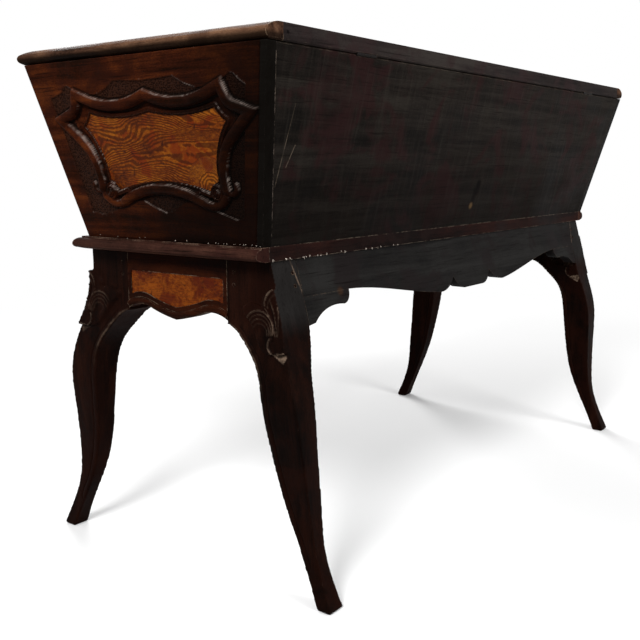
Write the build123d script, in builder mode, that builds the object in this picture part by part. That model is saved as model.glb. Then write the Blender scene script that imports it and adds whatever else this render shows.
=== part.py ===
from build123d import *
import os

# Antique dough box: a flared trough with a hinged moulded lid, on a stand with four cabriole legs.
# Millimetres. X runs along the length, -Y is the carved front, +Z is up, the floor is Z = 0.

os.makedirs("parts", exist_ok=True)

# ---- trough
stand_height = 494.7        # floor to the underside of the trough
floor_thickness = 20.7
wall_rise = 261.0           # trough walls, floor board to rim
wall = 18.5                 # trough boards, measured level
rim_length = 1294.6
rim_depth = 483.2
base_length = 1175.2
base_depth = 360.6
ease = 2.0                  # worn back edges of the rim and of the lid

# ---- lid
lid_gap = 1.2
lid_thickness = 22.4
lid_end_overhang = 3.7
lid_front_overhang = 12.6
lid_back_overhang = 1.2
lid_strip = 34.0            # width of the moulded strips round the lid
lid_brow_drop = 7.0         # the worn crown of the strips falls this far towards their nose
lid_lip_rise = 2.4          # undercut under the nose
lid_nose = 4.0              # how far the nose stands out
lid_joint_y = 20.0          # where the two lid boards meet
tongue = 7.0
tongue_thickness = 6.0

# ---- moulding under the trough
base_strip = 28.0
base_end_overhang = 14.0
base_front_overhang = 26.0
base_step = 2.2             # small square step at the top of the moulding
base_shelf = 17.0           # flat top of the moulding, from its joint to the step
base_nose_z = 9.0           # widest line of the round nose
base_chin = 6.0             # radius under the nose
base_hollow = 9.0           # flat underside, from the joint to the hollow

# ---- hinges
hinge_spread = 860.0        # between the middles of the two hinges
hinge_length = 50.0
hinge_leaf_depth = 15.0
hinge_leaf = 1.6
hinge_setback = 1.6         # pin in from the back edge of the lid
knuckle_radius = 2.4
knuckle_gap = 0.3
knuckle_room = 0.5          # round the knuckles in the wood
pin_radius = 1.2
pin_clearance = 0.05
screw_pitch = 26.0
screw_radius = 1.5
screw_head_radius = 2.8
screw_length = 14.0
screw_play = 0.1

# ---- stand
stand_length = 1138.0       # over the outer faces of the leg blocks
front_block_step = 17.6     # leg blocks stand this far in front of the trough's foot
block_height = 94.7         # height of the leg blocks, where the aprons join them
block_width = 56.0          # leg blocks along X
block_depth = 84.0          # leg blocks along Y
lean_start = -2.5           # back face at the stand's top, out from the trough's foot
lean_end = 22.7             # back face at the foot of the leg blocks
front_knee_out = 11.0       # front face at the foot of the leg blocks
shoulder = 40.0             # of the blocks' height, over which the front legs swell out to the knee
front_leg_spread = 9.0      # front legs stand further out at the ends than the back ones
foot_round = 4.0
apron = 22.0                # thickness of the apron boards
apron_rail = 30.0           # plain rail above the burl of the aprons
apron_stile = 8.0           # plain margin beside the burl of the aprons
apron_foot = 19.0           # plain margin and bead under the burl of the aprons
front_middle = 140.0        # plain middle of the front apron, between its two burl panels
bead_width = 10.0
bead_rise = 3.0
bead_inset = 1.2            # flat margin between the bead and the edge under it
tenon_thickness = 8.0
tenon_cheek = 7.0           # outer cheek of the tenoned boards
tenon_length = 26.0
tenon_height = 36.0
mortise_room = 1.0          # past the end of each tenon
tenon_drop = 10.0           # top of the tenons, down from the stand's top
peg_radius = 3.0
peg_length = 40.0
peg_play = 0.1
dowel_radius = 5.0
dowel_in_floor = 14.0
dowel_in_leg = 20.0
dowel_inset = 19.0          # in from the outer face of the leg blocks
leaf_rise = 5.0             # carved leaf on the knees, out from each face
leaf_height = 92.0
leaf_reach = 58.0           # from the arris of the leg to the tip of the side lobe
leaf_drop = 35.7            # top of the leaf, down from the stand's top
back_leaf_tilt = 14.0       # degrees, along the leaning arris
front_leaf_tilt = -8.0

# ---- burl panels and cartouches
burl_thickness = 4.0
burl_sink = 3.0             # burl face below the face of its trough board
apron_burl_sink = 1.0
burl_play = 0.2
cartouche_width = 377.0
cartouche_height = 164.0
cartouche_lift = 55.0       # lowest cusps above the foot of the trough board
roll_radius = 7.0
fillet_width = 4.0          # flat fillet round the burl field
fillet_rise = 1.5
volute_radius = 12.0
volute_rise = 6.0
end_cartouche_shift = 9.0
front_cartouche_pitch = 560.0

far = 2000.0                # longer than any piece, for outlines that are cut by another outline

floor_top = stand_height + floor_thickness
rim_z = floor_top + wall_rise
lid_z = rim_z + lid_gap
lid_top = lid_z + lid_thickness
end_slope = (rim_length - base_length) / 2 / wall_rise
side_slope = (rim_depth - base_depth) / 2 / wall_rise
lid_back = rim_depth / 2 + lid_back_overhang
lid_front = -rim_depth / 2 - lid_front_overhang
lid_end = rim_length / 2 + lid_end_overhang
lid_end_joint = lid_end - lid_strip
lid_front_joint = lid_front + lid_strip
floor_end = base_length / 2 + base_end_overhang - base_strip
floor_front = -base_depth / 2 - base_front_overhang + base_strip
floor_back = base_depth / 2
stand_front = -base_depth / 2 - front_block_step
stand_mid = (floor_back + stand_front) / 2
stand_half = (floor_back - stand_front) / 2
stand_end = stand_length / 2
block_foot = stand_height - block_height
end_apron_half = stand_half - block_depth
long_apron_half = stand_end - block_width
tenon_top = stand_height - tenon_drop
hinge_y = lid_back - hinge_setback
hinge_z = rim_z + lid_gap / 2


def save(builder, name):
    """Write a piece, moved from the trough's middle to the middle of the feet."""
    builder.part = Pos(0, -stand_mid, 0) * builder.part
    builder.part.label = name
    export_step(builder.part, f"parts/{name}.step")


def save_pair(shape, name):
    """A piece of the right-hand end and its mirror image at the left-hand end."""
    with BuildPart() as right:
        add(shape)
    save(right, f"{name}_right")
    with BuildPart() as left:
        add(mirror(shape, about=Plane.YZ))
    save(left, f"{name}_left")


def outline(*corners):
    """Flat outline with straight sides."""
    with BuildSketch() as flat:
        with BuildLine():
            Polyline(*corners, close=True)
        make_face()
    return flat.sketch


def sawn(end_view, front_view):
    """Piece sawn to one outline seen from the end (Y, Z) and to another seen from the front (X, Z)."""
    with BuildPart() as piece:
        with BuildSketch(Plane.YZ):
            add(end_view)
        extrude(amount=far, both=True)
        with BuildSketch(Plane.XZ):
            add(front_view)
        extrude(amount=far, both=True, mode=Mode.INTERSECT)
    return piece.part


def slab(x0, x1, y0, y1, z0, z1):
    with BuildPart() as block:
        with BuildSketch(Plane.XY.offset(z0)):
            with Locations(((x0 + x1) / 2, (y0 + y1) / 2)):
                Rectangle(x1 - x0, y1 - y0)
        extrude(amount=z1 - z0)
    return block.part


def rod(plane, radius, length):
    """Round rod that starts on the plane and runs along its normal."""
    with BuildPart() as bar:
        with BuildSketch(plane):
            Circle(radius)
        extrude(amount=length)
    return bar.part


def eight_sided(plane, radius, length, spots=((0, 0),), end_radius=None):
    """Pegs with eight flats that start on the plane and run along its normal, straight or tapering."""
    with BuildPart() as pegged:
        for x, y in spots:
            with BuildSketch(plane):
                with Locations((x, y)):
                    RegularPolygon(radius, 8)
            with BuildSketch(plane.offset(length)):
                with Locations((x, y)):
                    RegularPolygon(end_radius or radius, 8)
            loft()
    return pegged.part


# ---- carved panels ------------------------------------------------------------------------------
# Outlines are given as shares of the cartouche: sideways from its middle, and up from its lowest cusp.
# A carved strip's half section goes by shares of its rise and of its half width.

carved_flats = [(0.0, 1.0), (0.72, 0.72), (1.0, 0.3)]

roll_arcs = [
    ((0.66, 0.152), (0.687, 0.427), (0.796, 0.598)),
    ((0.859, 0.826), (0.82, 0.869), (0.782, 0.918)),
    ((0.647, 0.951), (0.371, 0.888), (0.069, 0.939)),
]
roll_foot = ((-0.44, 0.03), (0.0, 0.149), (0.44, 0.03))
roll_curl = (0.645, 0.075)
volute_centre = (0.575, 0.12)
field_arcs = [
    ((0.0, 0.815), (0.365, 0.774), (0.663, 0.824)),
    ((0.663, 0.824), (0.70, 0.76), (0.75, 0.714)),
    ((0.75, 0.714), (0.63, 0.50), (0.585, 0.22)),
    ((0.585, 0.22), (0.535, 0.18), (0.50, 0.122)),
]
field_foot = ((0.50, 0.122), (0.0, 0.213), (-0.50, 0.122))


def spot(share, side=1):
    return Vector(side * share[0] * cartouche_width / 2, cartouche_lift + share[1] * cartouche_height)


def arc(shares, side=1):
    return ThreePointArc(*[spot(share, side) for share in shares])


def face_plane(x, y, normal, along):
    """Plane on a sloping wall face, origin on its lower edge, local Y up the slope."""
    return Plane(origin=(x, y, floor_top), x_dir=along, z_dir=normal)


end_face = face_plane(base_length / 2, end_cartouche_shift, (1, 0, -end_slope), (0, 1, 0))


def front_face(x):
    return face_plane(x, -base_depth / 2, (0, -1, -side_slope), (1, 0, 0))


def burl_field(grow=0.0):
    """Outline of the burl field: hollow arcs that meet in cusps."""
    with BuildSketch() as field:
        with BuildLine():
            for side in (1, -1):
                for shares in field_arcs:
                    arc(shares, side)
            arc(field_foot)
        make_face()
        if grow:
            offset(amount=grow)
    return field.sketch


def inlaid(plane, flat, sink):
    """Recess for a burl panel in the face on the plane, and the panel that lies in it."""
    with BuildPart() as recess:
        with BuildSketch(plane):
            add(flat)
        extrude(amount=-sink - burl_thickness)
    with BuildPart() as panel:
        with BuildSketch(plane.offset(-sink)):
            add(flat)
            offset(amount=-burl_play)
        extrude(amount=-burl_thickness)
    return recess.part, panel.part


def carved_strip(path, width, rise, mitres=()):
    """Rounded moulding carved in five flats along a path on the XY plane, cut back to its mitre planes."""
    with BuildPart() as moulding:
        with BuildSketch(Plane(path @ 0, x_dir=(0, 0, 1), z_dir=path % 0)):
            with BuildLine():
                half = [(up * rise, across * width / 2) for up, across in carved_flats]
                Polyline(*half, *[(up, -across) for up, across in reversed(half)], close=True)
            make_face()
        sweep(path=path, transition=Transition.RIGHT)
        for mitre in mitres:
            split(bisect_by=mitre, keep=Keep.TOP)
    return moulding.part


def meeting_point(first, second):
    """Where the tangent on from the first line meets the tangent back from the second."""
    reach = (second @ 0 - first @ 1).cross(second % 0).Z / (first % 1).cross(second % 0).Z
    return first @ 1 + (first % 1) * reach


def mitred_rolls(lines, width, rise):
    """Carved strips along lines whose tangents meet in mitred cusps."""
    cusps = [meeting_point(*pair) for pair in zip(lines, lines[1:])]
    turns = [(first % 1 + second % 0).normalized() for first, second in zip(lines, lines[1:])]
    with BuildPart() as rolls:
        for index, line in enumerate(lines):
            mitres = []
            with BuildLine(mode=Mode.PRIVATE) as path:
                add(line)
                if index > 0:
                    Line(cusps[index - 1] - (line % 0) * 2 * width, line @ 0)
                    mitres.append(Plane(cusps[index - 1], z_dir=turns[index - 1]))
                if index < len(cusps):
                    Line(line @ 1, cusps[index] + (line % 1) * 2 * width)
                    mitres.append(Plane(cusps[index], z_dir=-turns[index]))
            add(carved_strip(path.wire(), width, rise, mitres))
    return rolls.part


def cartouche(plane):
    """Carved rolls that meet in cusps, volutes at the lower corners and a fillet round the field."""
    with BuildLine() as crown:
        lines = [arc(shares) for shares in roll_arcs]
        lines += [arc(shares[::-1], -1) for shares in reversed(roll_arcs)]
    with BuildLine() as foot:
        arch = arc(roll_foot)
        TangentArc(arch @ 1, spot(roll_curl), tangent=arch % 1)
        TangentArc(arch @ 0, spot(roll_curl, -1), tangent=-(arch % 0))
    with BuildPart() as frame:
        add(mitred_rolls(lines, 2 * roll_radius, roll_radius))
        add(carved_strip(foot.wire(), 2 * roll_radius, roll_radius))
        with BuildSketch():
            with Locations(spot(volute_centre), spot(volute_centre, -1)):
                Circle(volute_radius)
        extrude(amount=volute_rise)
        with BuildSketch():
            add(burl_field(fillet_width))
            add(burl_field(), mode=Mode.SUBTRACT)
        extrude(amount=fillet_rise)
    return plane.location * frame.part


# ---- trough -------------------------------------------------------------------------------------

def half_x(z):
    return base_length / 2 + (z - floor_top) * end_slope


def half_y(z):
    return base_depth / 2 + (z - floor_top) * side_slope


def trough_view(half, inset):
    """Flared outline of the trough between its floor board and its rim."""
    low, high = half(floor_top) - inset, half(rim_z) - inset
    return outline((-low, floor_top), (low, floor_top), (high, rim_z), (-high, rim_z))


def wall_view(half, side):
    """Leaning section of one trough board."""
    low, high = half(floor_top), half(rim_z)
    corners = [(low - wall, floor_top), (low, floor_top), (high, rim_z), (high - wall, rim_z)]
    return outline(*[(side * across, z) for across, z in corners])


def eased(corner_y, corner_z, up):
    """Prism along X that takes the sharp edge off a back corner."""
    return sawn(
        outline((corner_y, corner_z), (corner_y - ease, corner_z), (corner_y, corner_z - up * ease)),
        outline((-far, 0), (far, 0), (far, far), (-far, far)),
    )


rim_ease = eased(rim_depth / 2, rim_z, 1)
lid_ease = eased(lid_back, lid_z, -1)

end_recess, end_panel = inlaid(end_face, burl_field(), burl_sink)
with BuildPart() as end_board:
    add(sawn(trough_view(half_y, 0), wall_view(half_x, 1)))
    add(end_recess, mode=Mode.SUBTRACT)
    add(rim_ease, mode=Mode.SUBTRACT)
save_pair(end_board.part, "end_board")
save_pair(end_panel, "end_burl_panel")
save_pair(cartouche(end_face), "end_cartouche")

front_plane = front_face(front_cartouche_pitch / 2)
front_recess, front_panel = inlaid(front_plane, burl_field(), burl_sink)
with BuildPart() as front_board:
    add(sawn(wall_view(half_y, -1), trough_view(half_x, wall)))
    add(front_recess, mode=Mode.SUBTRACT)
    add(mirror(front_recess, about=Plane.YZ), mode=Mode.SUBTRACT)
save(front_board, "front_board")
save_pair(front_panel, "front_burl_panel")
save_pair(cartouche(front_plane), "front_cartouche")

# ---- hinges -------------------------------------------------------------------------------------

knuckle = (hinge_length - 2 * knuckle_gap) / 3
hinge_x = hinge_spread / 2
hinge_start = hinge_x - hinge_length / 2
leaf_edge = hinge_y - hinge_leaf_depth
leaf_clear = hinge_y - knuckle_radius - knuckle_room
screw_y = (leaf_edge + leaf_clear) / 2
screw_places = (hinge_x - screw_pitch / 2, hinge_x + screw_pitch / 2)
pin_line = Plane((hinge_start, hinge_y, hinge_z), x_dir=(0, 1, 0), z_dir=(1, 0, 0))


def screws(z, up, play=0.0):
    """Countersunk screws, heads flush at z, driven up or down."""
    plane = Plane((0, 0, z), x_dir=(1, 0, 0), z_dir=(0, 0, up))
    spots = [(x, up * screw_y) for x in screw_places]
    with BuildPart() as driven:
        add(eight_sided(plane, screw_radius + play, screw_length, spots))
        add(eight_sided(plane, screw_head_radius + play, hinge_leaf, spots, screw_radius + play))
    return driven.part


def leaf(z, up, knuckles):
    """Hinge leaf let in at z, with its own knuckles round the pin and countersunk holes."""
    z0, z1 = min(z, z + up * hinge_leaf), max(z, z + up * hinge_leaf)
    with BuildPart() as plate:
        add(slab(hinge_start, hinge_start + hinge_length, leaf_edge, leaf_clear, z0, z1))
        for place in knuckles:
            x = hinge_start + place * (knuckle + knuckle_gap)
            add(slab(x, x + knuckle, leaf_clear, hinge_y, z0, z1))
            add(rod(pin_line.offset(x - hinge_start), knuckle_radius, knuckle))
        add(rod(pin_line, pin_radius + pin_clearance, hinge_length), mode=Mode.SUBTRACT)
        add(screws(z, up, screw_play), mode=Mode.SUBTRACT)
    return plate.part


def leaf_seat(z, up):
    """What the wood loses to a leaf, its screws and all the knuckles."""
    z0, z1 = min(z, z + up * hinge_leaf), max(z, z + up * hinge_leaf)
    with BuildPart() as seat:
        add(slab(hinge_start, hinge_start + hinge_length, leaf_edge, lid_back + ease, z0, z1))
        groove_length = hinge_length + 2 * knuckle_room
        add(rod(pin_line.offset(-knuckle_room), knuckle_radius + knuckle_room, groove_length))
        add(screws(z, up, screw_play))
    return seat.part


def save_hinge_pair(shape, name):
    with BuildPart() as both:
        add(shape)
        add(mirror(shape, about=Plane.YZ))
    save(both, name)


lid_seat = leaf_seat(lid_z, 1)
case_seat = leaf_seat(rim_z, -1)
save_pair(leaf(lid_z, 1, (1,)), "hinge_leaf_lid")
save_pair(leaf(rim_z, -1, (0, 2)), "hinge_leaf_case")
save_hinge_pair(rod(pin_line, pin_radius, hinge_length), "hinge_pins")
save_hinge_pair(screws(lid_z, 1), "hinge_screws_lid")
save_hinge_pair(screws(rim_z, -1), "hinge_screws_case")

with BuildPart() as back_board:
    add(sawn(wall_view(half_y, 1), trough_view(half_x, wall)))
    add(rim_ease, mode=Mode.SUBTRACT)
    add(case_seat, mode=Mode.SUBTRACT)
    add(mirror(case_seat, about=Plane.YZ), mode=Mode.SUBTRACT)
save(back_board, "back_board")

# ---- lid ----------------------------------------------------------------------------------------

tongue_low = lid_z + (lid_thickness - tongue_thickness) / 2
tongue_high = tongue_low + tongue_thickness
tongue_end = lid_joint_y - tongue
lid_front_view = outline(
    (-lid_end_joint, lid_z), (lid_end_joint, lid_z), (lid_end_joint, lid_top), (-lid_end_joint, lid_top)
)
joint_view = [
    (lid_joint_y, lid_z), (lid_joint_y, tongue_low), (tongue_end, tongue_low),
    (tongue_end, tongue_high), (lid_joint_y, tongue_high), (lid_joint_y, lid_top),
]

with BuildPart() as lid_board_rear:
    add(sawn(outline(*joint_view, (lid_back, lid_top), (lid_back, lid_z)), lid_front_view))
    add(lid_ease, mode=Mode.SUBTRACT)
    add(lid_seat, mode=Mode.SUBTRACT)
    add(mirror(lid_seat, about=Plane.YZ), mode=Mode.SUBTRACT)
save(lid_board_rear, "lid_board_rear")

with BuildPart() as lid_board_front:
    add(sawn(outline(*joint_view, (lid_front_joint, lid_top), (lid_front_joint, lid_z)), lid_front_view))
save(lid_board_front, "lid_board_front")


def lid_moulding_section():
    """Thumb moulding: worn crown, round nose and undercut lip. Local X out, local Y up."""
    neck = lid_strip - lid_nose
    brow = lid_thickness - lid_brow_drop
    with BuildSketch() as section:
        with BuildLine():
            Line((0, 0), (0, lid_thickness))
            crown = Line((0, lid_thickness), (1.5 * lid_nose, lid_thickness))
            TangentArc(crown @ 1, (neck, brow), tangent=(1, 0))
            ThreePointArc((neck, brow), (lid_strip, (brow + lid_lip_rise) / 2), (neck, lid_lip_rise))
            Polyline((neck, lid_lip_rise), (neck - lid_nose, 0), (0, 0))
        make_face()
    return section.sketch


def base_moulding_section():
    """Flat shelf, small square step, round nose and hollowed underside. Local X out, local Y up."""
    brow = floor_thickness - base_step
    with BuildSketch() as section:
        with BuildLine():
            Polyline((0, 0), (0, floor_thickness), (base_shelf, floor_thickness), (base_shelf, brow))
            EllipticalCenterArc((base_shelf, base_nose_z), base_strip - base_shelf, brow - base_nose_z)
            chin = CenterArc((base_strip - base_chin, base_nose_z), base_chin, -90, 90)
            cove = (base_hollow + base_chin, 0.35 * (base_nose_z - base_chin))
            ThreePointArc(chin @ 0, cove, (base_hollow, 0))
            Line((base_hollow, 0), (0, 0))
        make_face()
    return section.sketch


def strips(section, end_joint, front_joint, z, back, back_ease=None):
    """Moulded strips for the right end and the front, mitred together at the front corner."""
    corner = (end_joint, front_joint, 0)
    with BuildPart() as end_strip:
        with BuildSketch(Plane((end_joint, back, z), x_dir=(1, 0, 0), z_dir=(0, -1, 0))):
            add(section)
        extrude(amount=far)
        split(bisect_by=Plane(corner, z_dir=(1, 1, 0)), keep=Keep.TOP)
        if back_ease:
            add(back_ease, mode=Mode.SUBTRACT)
    with BuildPart() as front_strip:
        with BuildSketch(Plane((0, front_joint, z), x_dir=(0, -1, 0), z_dir=(-1, 0, 0))):
            add(section)
        extrude(amount=far, both=True)
        split(bisect_by=Plane(corner, z_dir=(-1, -1, 0)), keep=Keep.TOP)
        split(bisect_by=Plane((-end_joint, front_joint, 0), z_dir=(1, -1, 0)), keep=Keep.TOP)
    return end_strip.part, front_strip


lid_end_strip, lid_front_strip = strips(
    lid_moulding_section(), lid_end_joint, lid_front_joint, lid_z, lid_back, lid_ease
)
save_pair(lid_end_strip, "lid_moulding")
save(lid_front_strip, "lid_moulding_front")
base_end_strip, base_front_strip = strips(
    base_moulding_section(), floor_end, floor_front, stand_height, floor_back
)
save_pair(base_end_strip, "base_moulding")
save(base_front_strip, "base_moulding_front")

# ---- stand --------------------------------------------------------------------------------------
# Curves are (share of the height below the blocks, distance out from the outer face of the block).

end_view_outer = [(0, 100), (0.1, 82), (0.23, 64), (0.37, 57), (0.58, 53), (0.72, 49), (0.86, 36)]
end_view_inner = [(0, 75), (0.1, 57), (0.23, 33), (0.37, 12), (0.58, -5), (0.72, -12), (0.86, -24)]
end_view_inner += [(0.945, -51), (0.985, -69)]
front_view_outer = [(0, -2), (0.1, -7), (0.23, -11), (0.37, -8), (0.51, -1), (0.65, 8), (0.79, 12)]
front_view_outer += [(0.93, 4.5)]
front_view_inner = [(0, -34), (0.13, -32), (0.33, -38), (0.55, -35), (0.77, -36), (0.86, -43), (0.93, -52)]


def leg_view(place, top_out, foot_out, outer, inner, block, spread=0.0):
    """One outline of a leg: straight-sided block on top, sawn curves below that may spread at the foot."""
    def points(curve):
        return [place(out + spread * (1 - share), share * block_foot) for share, out in curve]

    with BuildSketch() as view:
        with BuildLine():
            front = Spline(*points(outer), foot_out)
            back = Spline(*points(inner), place(-block, block_foot))
            Line(front @ 0, back @ 0)
            Polyline(front @ 1, *top_out, place(-block, stand_height), back @ 1)
        make_face()
    return view.sketch


def lean(out, z):
    """Back face of the stand, which leans out from its top to the foot of the blocks."""
    share = (stand_height - z) / block_height
    return (stand_mid + stand_half + out + lean_start + share * (lean_end - lean_start), z)


def lean_view(outer_depth, inner_depth):
    """Leaning strip between two depths in from the back face of the stand."""
    return outline(
        lean(-outer_depth, block_foot), lean(-outer_depth, stand_height),
        lean(-inner_depth, stand_height), lean(-inner_depth, block_foot),
    )


def at_end(out, z):
    return (stand_end + out, z)


def at_back(out, z):
    return (stand_mid + stand_half + out, z)


def at_front(out, z):
    return (stand_mid - stand_half - out, z)


block_shoulder = block_foot + shoulder
back_leg_front_view, front_leg_front_view = [
    leg_view(
        at_end, [at_end(0, stand_height)], at_end(0, block_shoulder),
        front_view_outer, front_view_inner, block_width, spread,
    )
    for spread in (0, front_leg_spread)
]
back_leg_end_view = leg_view(
    at_back, [at_back(lean_start, stand_height)], lean(0, block_foot),
    end_view_outer, end_view_inner, block_depth,
)
front_leg_end_view = leg_view(
    at_front, [at_front(0, block_shoulder), at_front(0, stand_height)], at_front(front_knee_out, block_foot),
    end_view_outer, end_view_inner, block_depth,
)

# tenons and pegs
tenon_z0, tenon_z1 = tenon_top - tenon_height, tenon_top
peg_heights = (tenon_z0 + tenon_height / 4, tenon_z1 - tenon_height / 4)
end_tenon_x = stand_end - tenon_cheek


def end_tenons(extra=0.0):
    """Tenons at both ends of an end apron, or their mortises, which are a little longer."""
    reach = end_apron_half + tenon_length + extra
    return slab(
        end_tenon_x - tenon_thickness, end_tenon_x, stand_mid - reach, stand_mid + reach, tenon_z0, tenon_z1
    )


def long_tenons(end_view, extra=0.0):
    """Tenons at both ends of the front or back apron, or their mortises."""
    reach = long_apron_half + tenon_length + extra
    corners = [(-reach, tenon_z0), (reach, tenon_z0), (reach, tenon_z1), (-reach, tenon_z1)]
    return sawn(end_view, outline(*corners))


tenon_depths = (tenon_cheek, tenon_cheek + tenon_thickness)
back_tenon_view = lean_view(*tenon_depths)
front_tenon_view = outline(
    at_front(-tenon_depths[0], block_foot), at_front(-tenon_depths[0], stand_height),
    at_front(-tenon_depths[1], stand_height), at_front(-tenon_depths[1], block_foot),
)


def pegs(play=0.0):
    """Pegs through the tenons at the right end: two from the outside of each joint."""
    radius = peg_radius + play
    across = end_apron_half + tenon_length / 2
    along = long_apron_half + tenon_length / 2
    with BuildPart() as driven:
        for side in (1, -1):
            for z in peg_heights:
                entry = Plane((stand_end, stand_mid + side * across, z), z_dir=(-1, 0, 0))
                add(eight_sided(entry, radius, peg_length))
        with BuildSketch() as back_holes:
            with Locations(*[(along, z) for z in peg_heights]):
                RegularPolygon(radius, 8)
        add(sawn(lean_view(0, peg_length), back_holes.sketch))
        for z in peg_heights:
            add(eight_sided(Plane((along, stand_front, z), z_dir=(0, 1, 0)), radius, peg_length))
    return driven.part


def dowels():
    """Dowels that stand in the tops of the right-hand legs and hold the trough."""
    spots = [(stand_end - dowel_inset, stand_mid + side * (stand_half - block_depth / 2)) for side in (1, -1)]
    seat = Plane.XY.offset(stand_height - dowel_in_leg)
    return eight_sided(seat, dowel_radius, dowel_in_leg + dowel_in_floor, spots)


peg_holes = pegs(peg_play)
trough_dowels = dowels()


# Half of the leaf carved on a knee: shares of its reach from the arris, and of its height from its top.
leaf_lobes = [
    ((0.0, 0.0), (0.19, -0.05), (0.34, -0.13)),
    ((0.34, -0.13), (0.40, -0.23), (0.37, -0.33)),
    ((0.37, -0.33), (0.68, -0.26), (1.0, -0.35)),
    ((1.0, -0.35), (0.95, -0.43), (0.81, -0.50)),
    ((0.81, -0.50), (0.62, -0.70), (0.47, -0.89)),
    ((0.47, -0.89), (0.30, -0.98), (0.0, -1.0)),
]


def knee_leaf(end_view, front_view, arris, faces, tilt):
    """Leaf on a knee: the leg grown out from the carved faces, cut to a lobed outline about its arris."""
    out = Vector(*faces).normalized()
    plane = Plane((*arris, stand_height - leaf_drop), x_dir=(-out.Y, out.X, 0), z_dir=out)
    across = leaf_reach / Vector(*faces).length
    with BuildPart() as carved:
        add(sawn(Pos(leaf_rise * faces[1], 0) * end_view, Pos(leaf_rise * faces[0], 0) * front_view))
        with BuildSketch(plane.rotated((0, 0, tilt))):
            with BuildLine():
                for side in (1, -1):
                    for shares in leaf_lobes:
                        ThreePointArc(*[(side * x * across, y * leaf_height) for x, y in shares])
            make_face()
        extrude(amount=far, both=True, mode=Mode.INTERSECT)
    return carved.part


def leg(end_view, front_view, long_tenon_view, leaf):
    with BuildPart() as piece:
        add(sawn(end_view, front_view))
        fillet(piece.edges().group_by(Axis.Z)[0], radius=foot_round)
        add(leaf)
        add(end_tenons(mortise_room), mode=Mode.SUBTRACT)
        add(long_tenons(long_tenon_view, mortise_room), mode=Mode.SUBTRACT)
        add(peg_holes, mode=Mode.SUBTRACT)
        add(trough_dowels, mode=Mode.SUBTRACT)
    return piece.part


leaf_top = stand_height - leaf_drop
back_arris = (stand_end, lean(0, leaf_top)[0])
front_arris = (stand_end, stand_front)
back_leaf = knee_leaf(back_leg_end_view, back_leg_front_view, back_arris, (1, 0), back_leaf_tilt)
front_leaf = knee_leaf(front_leg_end_view, front_leg_front_view, front_arris, (1, -1), front_leaf_tilt)
save_pair(leg(back_leg_end_view, back_leg_front_view, back_tenon_view, back_leaf), "leg_back")
save_pair(leg(front_leg_end_view, front_leg_front_view, front_tenon_view, front_leaf), "leg_front")
save_pair(trough_dowels, "trough_dowels")
save_pair(pegs(), "stand_pegs")

with BuildPart() as bottom_board:
    add(slab(-floor_end, floor_end, floor_front, floor_back, stand_height, floor_top))
    add(trough_dowels, mode=Mode.SUBTRACT)
    add(mirror(trough_dowels, about=Plane.YZ), mode=Mode.SUBTRACT)
save(bottom_board, "bottom_board")


# Lower edges of the aprons, from a leg to the middle: shares of half their length, and of the height of the
# leg blocks, down from the stand's top.
end_edge = [
    ((1.0, 0.952), (0.8, 0.871), (0.476, 0.924)),
    ((0.476, 0.924), (0.247, 0.998), (0.0, 1.053)),
]
front_edge = [
    ((1.0, 0.952), (0.858, 0.697), (0.643, 0.803)),
    ((0.643, 0.803), (0.419, 0.697), (0.23, 0.887)),
    ((0.23, 0.887), (0.117, 0.929), (0.0, 1.088)),
]
back_ramp = [(0.78, 0.578), (0.61, 0.665), (0.394, 0.852), (0.255, 0.947)]
back_hook = [(0.255, 0.947), (0.179, 0.876), (0.14, 0.715)]
back_tongue = [(0.14, 0.715), (0.117, 0.876), (0.074, 0.968)]
bracket_knob = [(0.78, 0.578), (0.79, 0.725), (0.817, 0.789)]
bracket_brow = [(0.817, 0.789), (0.887, 0.789), (0.942, 0.884), (0.969, 0.979)]


def edge_spots(half, shares, side=1, up=0.0):
    return [(side * across * half, stand_height - down * block_height + up) for across, down in shares]


def scalloped(half, edge):
    """Board outline between two legs: straight top, lower edge of arcs mirrored about the middle."""
    with BuildSketch() as board:
        with BuildLine():
            for side in (1, -1):
                for shares in edge:
                    ThreePointArc(*edge_spots(half, shares, side))
                Polyline(*edge_spots(half, [edge[0][0], (1, 0), (0, 0)], side))
        make_face()
    return board.sketch


def edge_bead(half, edge):
    """Bead beside the lower edge of an apron, drawn on the XY plane."""
    with BuildLine() as path:
        for side in (1, -1):
            for shares in edge:
                ThreePointArc(*edge_spots(half, shares, side, bead_width / 2 + bead_inset))
    return carved_strip(path.wire(), bead_width, bead_rise)


def carved_apron(half, edge, fields, plane):
    """Apron board with an edge bead and burl panels, drawn flat and placed with its face on the plane."""
    face = scalloped(half, edge)
    with BuildSketch() as burl:
        add(face)
        add(Pos(0, apron_foot) * face, mode=Mode.INTERSECT)
        with BuildSketch(mode=Mode.INTERSECT):
            for low, high in fields:
                with Locations(((low + high) / 2, stand_height - apron_rail - far / 2)):
                    Rectangle(high - low, far)
    recess, panel = inlaid(Plane.XY, burl.sketch, apron_burl_sink)
    with BuildPart() as board:
        with BuildSketch():
            add(face)
        extrude(amount=-apron)
        add(edge_bead(half, edge))
        with BuildSketch():
            with Locations((0, stand_height)):
                Rectangle(2 * half, far)
        extrude(amount=apron, both=True, mode=Mode.INTERSECT)
        add(recess, mode=Mode.SUBTRACT)
    return plane.location * board.part, plane.location * panel


end_field = end_apron_half - apron_stile
end_apron_plane = Plane((stand_end, stand_mid, 0), x_dir=(0, 1, 0), z_dir=(1, 0, 0))
end_apron, end_apron_burl = carved_apron(
    end_apron_half, end_edge, [(-end_field, end_field)], end_apron_plane
)
with BuildPart() as apron_end:
    add(end_apron)
    add(end_tenons(), mode=Mode.ADD)
    add(pegs(peg_play), mode=Mode.SUBTRACT)
save_pair(apron_end.part, "apron_end")
save_pair(end_apron_burl, "apron_end_burl")

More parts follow.
